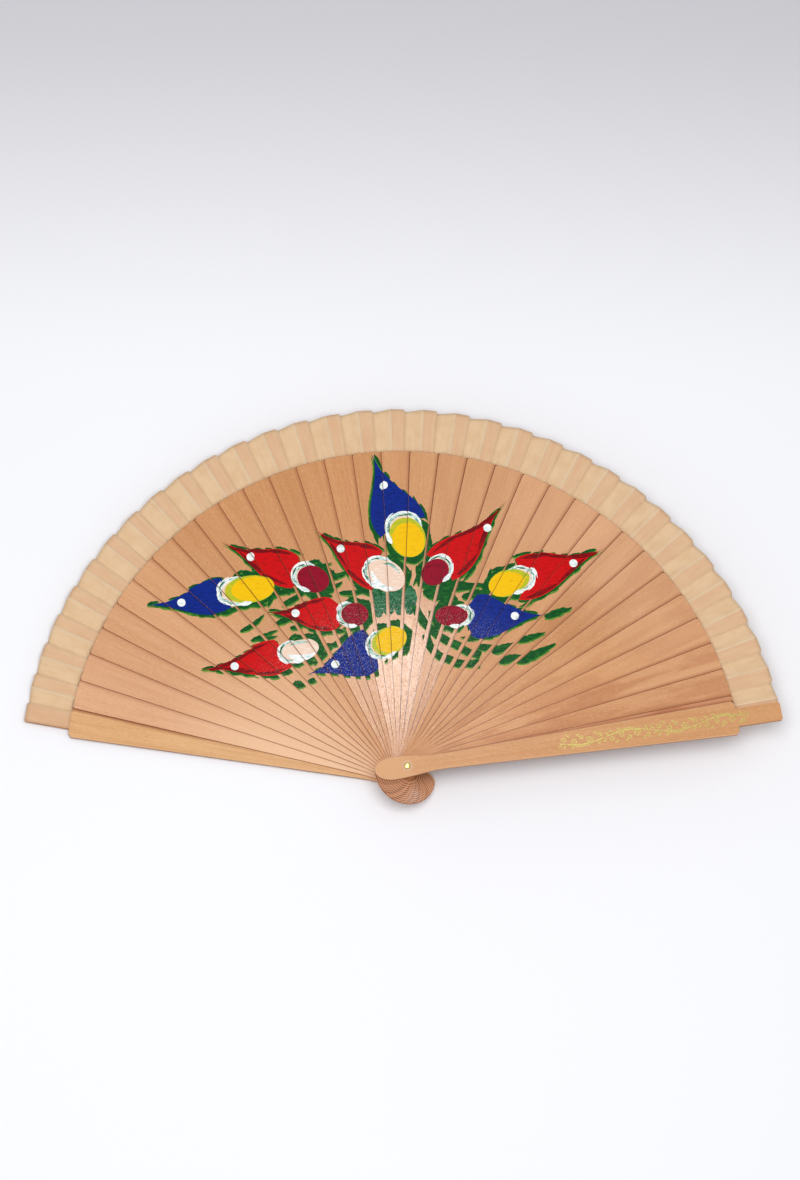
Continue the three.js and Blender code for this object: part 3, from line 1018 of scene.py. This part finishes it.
# a painted highlight along each mountain fold
tone = mix(tree, sums(tree, "MULTIPLY", crest_highlight, 0.45), tone, linear(244, 222, 192))
tone = mix(tree, ramp(tree, weave, -1, 1, 0.10, 0.0), tone, linear(150, 112, 76))
tree.links.new(tone, bsdf.inputs["Base Color"])
relief(tree, bsdf, weave, 0.05, 0.6)
print("cotton thread every", THREAD, "mm")

# %% Measures of a fold
CLOTH = 0.2
RIB_HALF = 3.2
REAR_HALF = 1.42       # degrees from the rear guard's middle to either edge of its tip
SAG = 2.3              # how far a valley hangs below the rib at the outer edge
CREST = 0.45           # how far a mountain stands above it
FLOOR = 0.45           # no valley hangs lower above the table than this
ROWS = 10
MOUNTAIN = 1.05        # degrees from a stick's middle to the fold on its left
ROUND = 0.06           # degrees from a mountain's top to where its curve eases
FLAT = 0.22            # and to where the cloth lies flat on the rib
VALLEY = 0.45          # degrees from a rib's right edge to the bottom of the valley
REAR_VALLEY = 0.35


def rib_height(i):
    return REAR_TOP - 0.15 if i == 0 else blade_base(i) + 0.33


def rib_edge(radius):
    return math.degrees(math.asin(RIB_HALF / radius))


print("a rib covers", round(2 * rib_edge(LEAF_INNER), 2), "of every", STEP, "degrees")

# %% Stations across a fold


def fold_stations(i):
    """Across one fold, left to right: (angle, height of the underside, rib behind, crest, dip)."""
    here, there = blade_angle(i), blade_angle(i + 1)
    low, high = rib_height(i), rib_height(i + 1)
    edge = rib_edge(LEAF_INNER)

    # on the rib: from the mountain down to the flat, and along it
    if i:
        top = here + MOUNTAIN
        out = [(top, low + CREST, 0.2, 1.0, 0.0), (top - ROUND, low + CREST * 0.8, 0.6, 0.6, 0.0),
               (top - FLAT, low + 0.05, 1.0, 0.0, 0.0)]
        stop, valley = here - edge, here - edge - VALLEY
        backed = (1.0, 1.0, 1.0, 0.85, 0.55)
    else:
        out = [(here + REAR_HALF, low, 1.4, 0.0, 0.0)]
        stop, valley = here - REAR_HALF, here - REAR_HALF - REAR_VALLEY
        backed = (1.4, 1.4, 1.4, 1.4, 1.0)
    start = out[-1][0]
    out += [(start + (stop - start) * (k + 1) / 5, low, backed[k], 0.0, 0.0) for k in range(5)]

    # off the rib: down to the valley, and up to the next stick's mountain
    low_point = max(FLOOR, low - SAG)
    for k in range(1, 4):
        t = k / 3
        out.append((stop + (valley - stop) * t, low + (low_point - low) * t ** 1.2, 0.25 * (1 - t), 0.0, t))
    crest_at = there + MOUNTAIN
    for k in range(1, 9):
        t = k / 8
        rise = t - 0.10 * math.sin(math.pi * t)
        out.append((valley + (crest_at - valley) * t, low_point + (high + CREST - low_point) * rise,
                    0.0, max(0.0, 8 * t - 7), 1 - t))

    # the last fold also covers the last stick's rib
    if i == STICKS - 1:
        out += [(crest_at - ROUND, high + CREST * 0.8, 0.6, 0.6, 0.0),
                (crest_at - FLAT, high + 0.05, 1.0, 0.0, 0.0)]
        out += [(there + 0.8 + (-edge - 0.8) * k / 5, high, 1.0, 0.0, 0.0) for k in range(6)]
    return out


print("stations across folds 0, 1 and 31:", [len(fold_stations(i)) for i in (0, 1, STICKS - 1)])

# %% Cloth through the stations
LEAF_MIDDLE = 200      # where the cloth's run across the pleats is measured
EDGE_DIP = 0.75        # how far the outer edge draws in at a valley
INNER_LIFT = 0.55      # how much shallower a valley is at the inner edge
FLUTTER = 0.05


def fold_mesh(i):
    stations = fold_stations(i)
    columns = len(stations)
    verts, facts = [], []          # a fact is (run, radius, rib behind, crest), for the finish
    run = 0.0
    for c, (angle, height, rib, crest_here, dip) in enumerate(stations):
        if c:
            before = stations[c - 1]
            run += math.hypot(math.radians(before[0] - angle) * LEAF_MIDDLE, height - before[1])
        for r in range(ROWS + 1):
            t = r / ROWS
            radius = LEAF_INNER + (LEAF_OUTER - LEAF_INNER) * t - EDGE_DIP * dip * t * t
            lifted = height + INNER_LIFT * (rib_height(i) - height) * (1 - t) * dip
            flutter = FLUTTER * math.sin(6 * t + i) * dip
            p = polar(angle, radius)
            for up in (0.0, CLOTH):
                verts.append((p.x * MM, p.y * MM, (lifted + flutter + up) * MM))
                facts.append((run + 19.0 * i, radius, rib, crest_here))
    across = 2 * (ROWS + 1)
    faces = []
    for c in range(columns - 1):
        for r in range(ROWS):
            a = c * across + 2 * r
            b = a + across
            faces.append((a + 1, a + 3, b + 3, b + 1))
            faces.append((a, b, b + 2, a + 2))
        inner, outer = c * across, c * across + 2 * ROWS
        faces.append((inner, inner + 1, inner + across + 1, inner + across))
        faces.append((outer, outer + across, outer + across + 1, outer + 1))
    for r in range(ROWS):
        a = 2 * r
        faces.append((a, a + 2, a + 3, a + 1))
        b = (columns - 1) * across + 2 * r
        faces.append((b, b + 1, b + 3, b + 2))
    mesh = bpy.data.meshes.new(f"leaf_fold_{i:02d}")
    mesh.from_pydata(verts, [], faces)
    for key, kind, values in (
        ("thread", "FLOAT_VECTOR", [x for f in facts for x in (f[0], f[1], 0.0)]),
        ("behind", "FLOAT", [f[2] for f in facts]),
        ("crest_highlight", "FLOAT", [f[3] for f in facts]),
    ):
        layer = mesh.attributes.new(key, kind, "POINT")
        layer.data.foreach_set("vector" if kind == "FLOAT_VECTOR" else "value", values)
    for face in mesh.polygons:
        face.use_smooth = True
    mesh.materials.append(cotton)
    return mesh, run


def face_outwards(mesh):
    bm = bmesh.new()
    bm.from_mesh(mesh)
    bmesh.ops.recalc_face_normals(bm, faces=bm.faces[:])
    bm.to_mesh(mesh)
    bm.free()


print("rows from the inner to the outer edge:", ROWS + 1)

# %% Hang the leaf
folds = []
for i in range(STICKS):
    mesh, run = fold_mesh(i)
    face_outwards(mesh)
    obj = put_in_scene(mesh.name, mesh)
    start = polar(blade_angle(i) - rib_edge(LEAF_INNER), LEAF_INNER) * MM
    end = polar(blade_angle(i + 1) + MOUNTAIN, LEAF_INNER) * MM
    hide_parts("leaf")
    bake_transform(obj)
    folds.append((obj, run))
print("folds:", len(folds), "cloth across the whole leaf:", round(sum(r for _, r in folds)), "mm")

# %% [markdown]
# ## The rivet and its washers
# A small brass pin with a low polished dome at each end holds the pile, and a clear plastic washer
# lies under each dome. Such a dome could be a squashed ball, but a real one is turned with a flat
# foot and a small upright rim, so a profile spun round the axis makes it.

# %% Brass and clear plastic
brass, tree, bsdf = new_material("polished brass", **{"Metallic": 1.0, "Roughness": 0.2})
where = stretched(tree, add(tree, "ShaderNodeTexCoord").outputs["Object"], 1 / MM, 1 / MM, 1 / MM)
scuffs = noise(tree, stretched(tree, where, 1, 6, 1, 20), 1.2, 3, 0.6)
tree.links.new(mix(tree, ramp(tree, scuffs, 0.4, 0.75), linear(246, 222, 138), linear(216, 180, 96)),
               bsdf.inputs["Base Color"])
tree.links.new(ramp(tree, scuffs, 0.3, 0.8, 0.30, 0.45), bsdf.inputs["Roughness"])

clear, tree, bsdf = new_material("clear washer plastic", **{
    "Roughness": 0.18, "Specular IOR Level": 0.5, "Alpha": 0.10})
haze = noise(tree, stretched(tree, add(tree, "ShaderNodeTexCoord").outputs["Object"], 900, 900, 900), 1.0, 2)
tree.links.new(mix(tree, haze, linear(250, 248, 242), linear(238, 232, 222)), bsdf.inputs["Base Color"])
print("finishes:", brass.name, "and", clear.name)

# %% Turn a profile


def spun(name, profile, count=48):
    """A profile of (radius, height) from the axis out and back, spun round the rivet."""
    verts, faces = [], []
    rings = []
    for radius, height in profile:
        if radius == 0:
            rings.append([len(verts)])
            verts.append((0, 0, height * MM))
        else:
            rings.append(list(range(len(verts), len(verts) + count)))
            verts += [(radius * MM * math.cos(2 * math.pi * k / count),
                       radius * MM * math.sin(2 * math.pi * k / count), height * MM) for k in range(count)]
    for low, high in zip(rings, rings[1:]):
        for k in range(count):
            n = (k + 1) % count
            if len(low) == 1:
                faces.append((low[0], high[n], high[k]))
            elif len(high) == 1:
                faces.append((low[k], low[n], high[0]))
            else:
                faces.append((low[k], low[n], high[n], high[k]))
    mesh = bpy.data.meshes.new(name)
    mesh.from_pydata(verts, [], faces)
    face_outwards(mesh)
    for face in mesh.polygons:
        face.use_smooth = True
    return put_in_scene(name, mesh)


DOME = 1.8             # the dome's radius
RIM_HEIGHT = 0.12
CAP_HEIGHT = 0.68      # the round part, above the rim


def dome(foot, rise):
    """Flat foot, a small upright rim, then a low round cap. rise is 1 upwards and -1 downwards."""
    arc = [(DOME * math.cos(a), RIM_HEIGHT + CAP_HEIGHT * math.sin(a))
           for a in (math.pi / 2 * k / 10 for k in range(10))]
    profile = [(0.0, 0.0), (DOME - 0.06, 0.0), (DOME, 0.05)] + arc + [(0.0, 0.8)]
    return [(r, foot + rise * h) for r, h in profile]


print("a dome has", len(dome(0, 1)), "rings")

# %% Domes, washers and pin
for name, foot, rise in (("rivet_front_cap", 28.95, 1), ("rivet_rear_head", 0.8, -1)):
    obj = spun(f"{name}_dome", dome(foot, rise))
    obj.data.materials.append(brass)
    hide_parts(name)
    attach(obj, "rear_guard")
for name in ("rear_washer", "front_washer"):
    nodes[name].data.materials.clear()
    nodes[name].data.materials.append(clear)
    soften(nodes[name], 0.06)
nodes["rivet_pin"].data.materials.clear()
nodes["rivet_pin"].data.materials.append(brass)
print("two domes turned, two washers cleared, the pin polished")

# %% [markdown]
# ## Table, light and camera
# The fan lies on its back on a plain white table in soft studio light. One broad key light above,
# a little to the left and in front, gives the soft shadow under the guard, and a pale room fills the
# rest. Varnish needs something small to mirror, so a small lamp over the sticks adds only
# gloss: matt surfaces and the camera don't see it. The camera is a long lens far above the fan,
# a little in front of it and turned, so the fan looks almost flat.

# %% The table
HALF_TABLE = 6.0       # metres
table_mesh = bpy.data.meshes.new("table")
corners = [(x * HALF_TABLE, y * HALF_TABLE, 0) for x, y in ((-1, -1), (1, -1), (1, 1), (-1, 1))]
table_mesh.from_pydata(corners, [], [(0, 1, 2, 3)])
table = put_in_scene("table", table_mesh)
table.location.z = -0.0001
matt, tree, bsdf = new_material("white table", **{"Roughness": 0.9, "Specular IOR Level": 0.2})
paper = add(tree, "ShaderNodeTexCoord").outputs["Object"]
cloudy = noise(tree, paper, 3.0, 2)
tone = mix(tree, cloudy, linear(247, 247, 250), linear(244, 244, 248))
# painted shade: the table grows greyer behind the fan, where the light falls off
back = ramp(tree, add(tree, "ShaderNodeSeparateXYZ", {0: paper}).outputs[1], 0.22, 0.50)
tree.links.new(mix(tree, back, tone, linear(208, 206, 211)), bsdf.inputs["Base Color"])
table_mesh.materials.append(matt)
print("table", 2 * HALF_TABLE, "m wide, greyer behind the fan")

# %% Lights


def softbox(name, at, aim, size, power):
    data = bpy.data.lights.new(name, "AREA")
    data.shape = "SQUARE"
    data.size = size
    data.energy = power
    obj = put_in_scene(name, data)
    obj.location = at
    obj.rotation_euler = (Vector(aim) - Vector(at)).to_track_quat("-Z", "Y").to_euler()
    return obj


key = softbox("key light", (-0.09, -0.15, 1.48), (0, 0.05, 0), 0.8, 13.6)
spark = softbox("small lamp", (0.042, 0.187, 0.44), (0.0, 0.05, 0), 0.05, 0.62)
spark.visible_camera = False
spark.visible_diffuse = False
world = bpy.data.worlds.new("studio")
world.use_nodes = True
room = world.node_tree.nodes["Background"]
room.inputs["Color"].default_value = (0.97, 0.985, 1.0, 1)
room.inputs["Strength"].default_value = 0.52
bpy.context.scene.world = world
bpy.context.scene.view_settings.view_transform = "Standard"
print("lights:", key.name, "and", spark.name)

# %% Camera
tall, turned, rolled = 72.29, -17.0, 17.19     # degrees
distance = 3.0                                  # metres
aim = Vector((-0.00148, 0.10594, 0.013))
e, a, r = (math.radians(angle) for angle in (tall, turned, rolled))
away = Vector((math.cos(e) * math.sin(a), -math.cos(e) * math.cos(a), math.sin(e)))
right = (-away).cross(Vector((0, 0, 1))).normalized()
up = right.cross(-away)
side, top = right * math.cos(r) + up * math.sin(r), up * math.cos(r) - right * math.sin(r)
camera_data = bpy.data.cameras.new("camera")
camera_data.sensor_fit = "AUTO"
camera_data.sensor_width = 36
camera_data.lens = 163.8
camera_data.clip_end = 50
camera = put_in_scene("camera", camera_data)
basis = Matrix((side, top, away)).transposed().to_4x4()
camera.matrix_world = Matrix.Translation(aim + away * distance) @ basis
bpy.context.scene.camera = camera
print("camera", [round(c, 3) for c in camera.location], "lens", camera_data.lens)
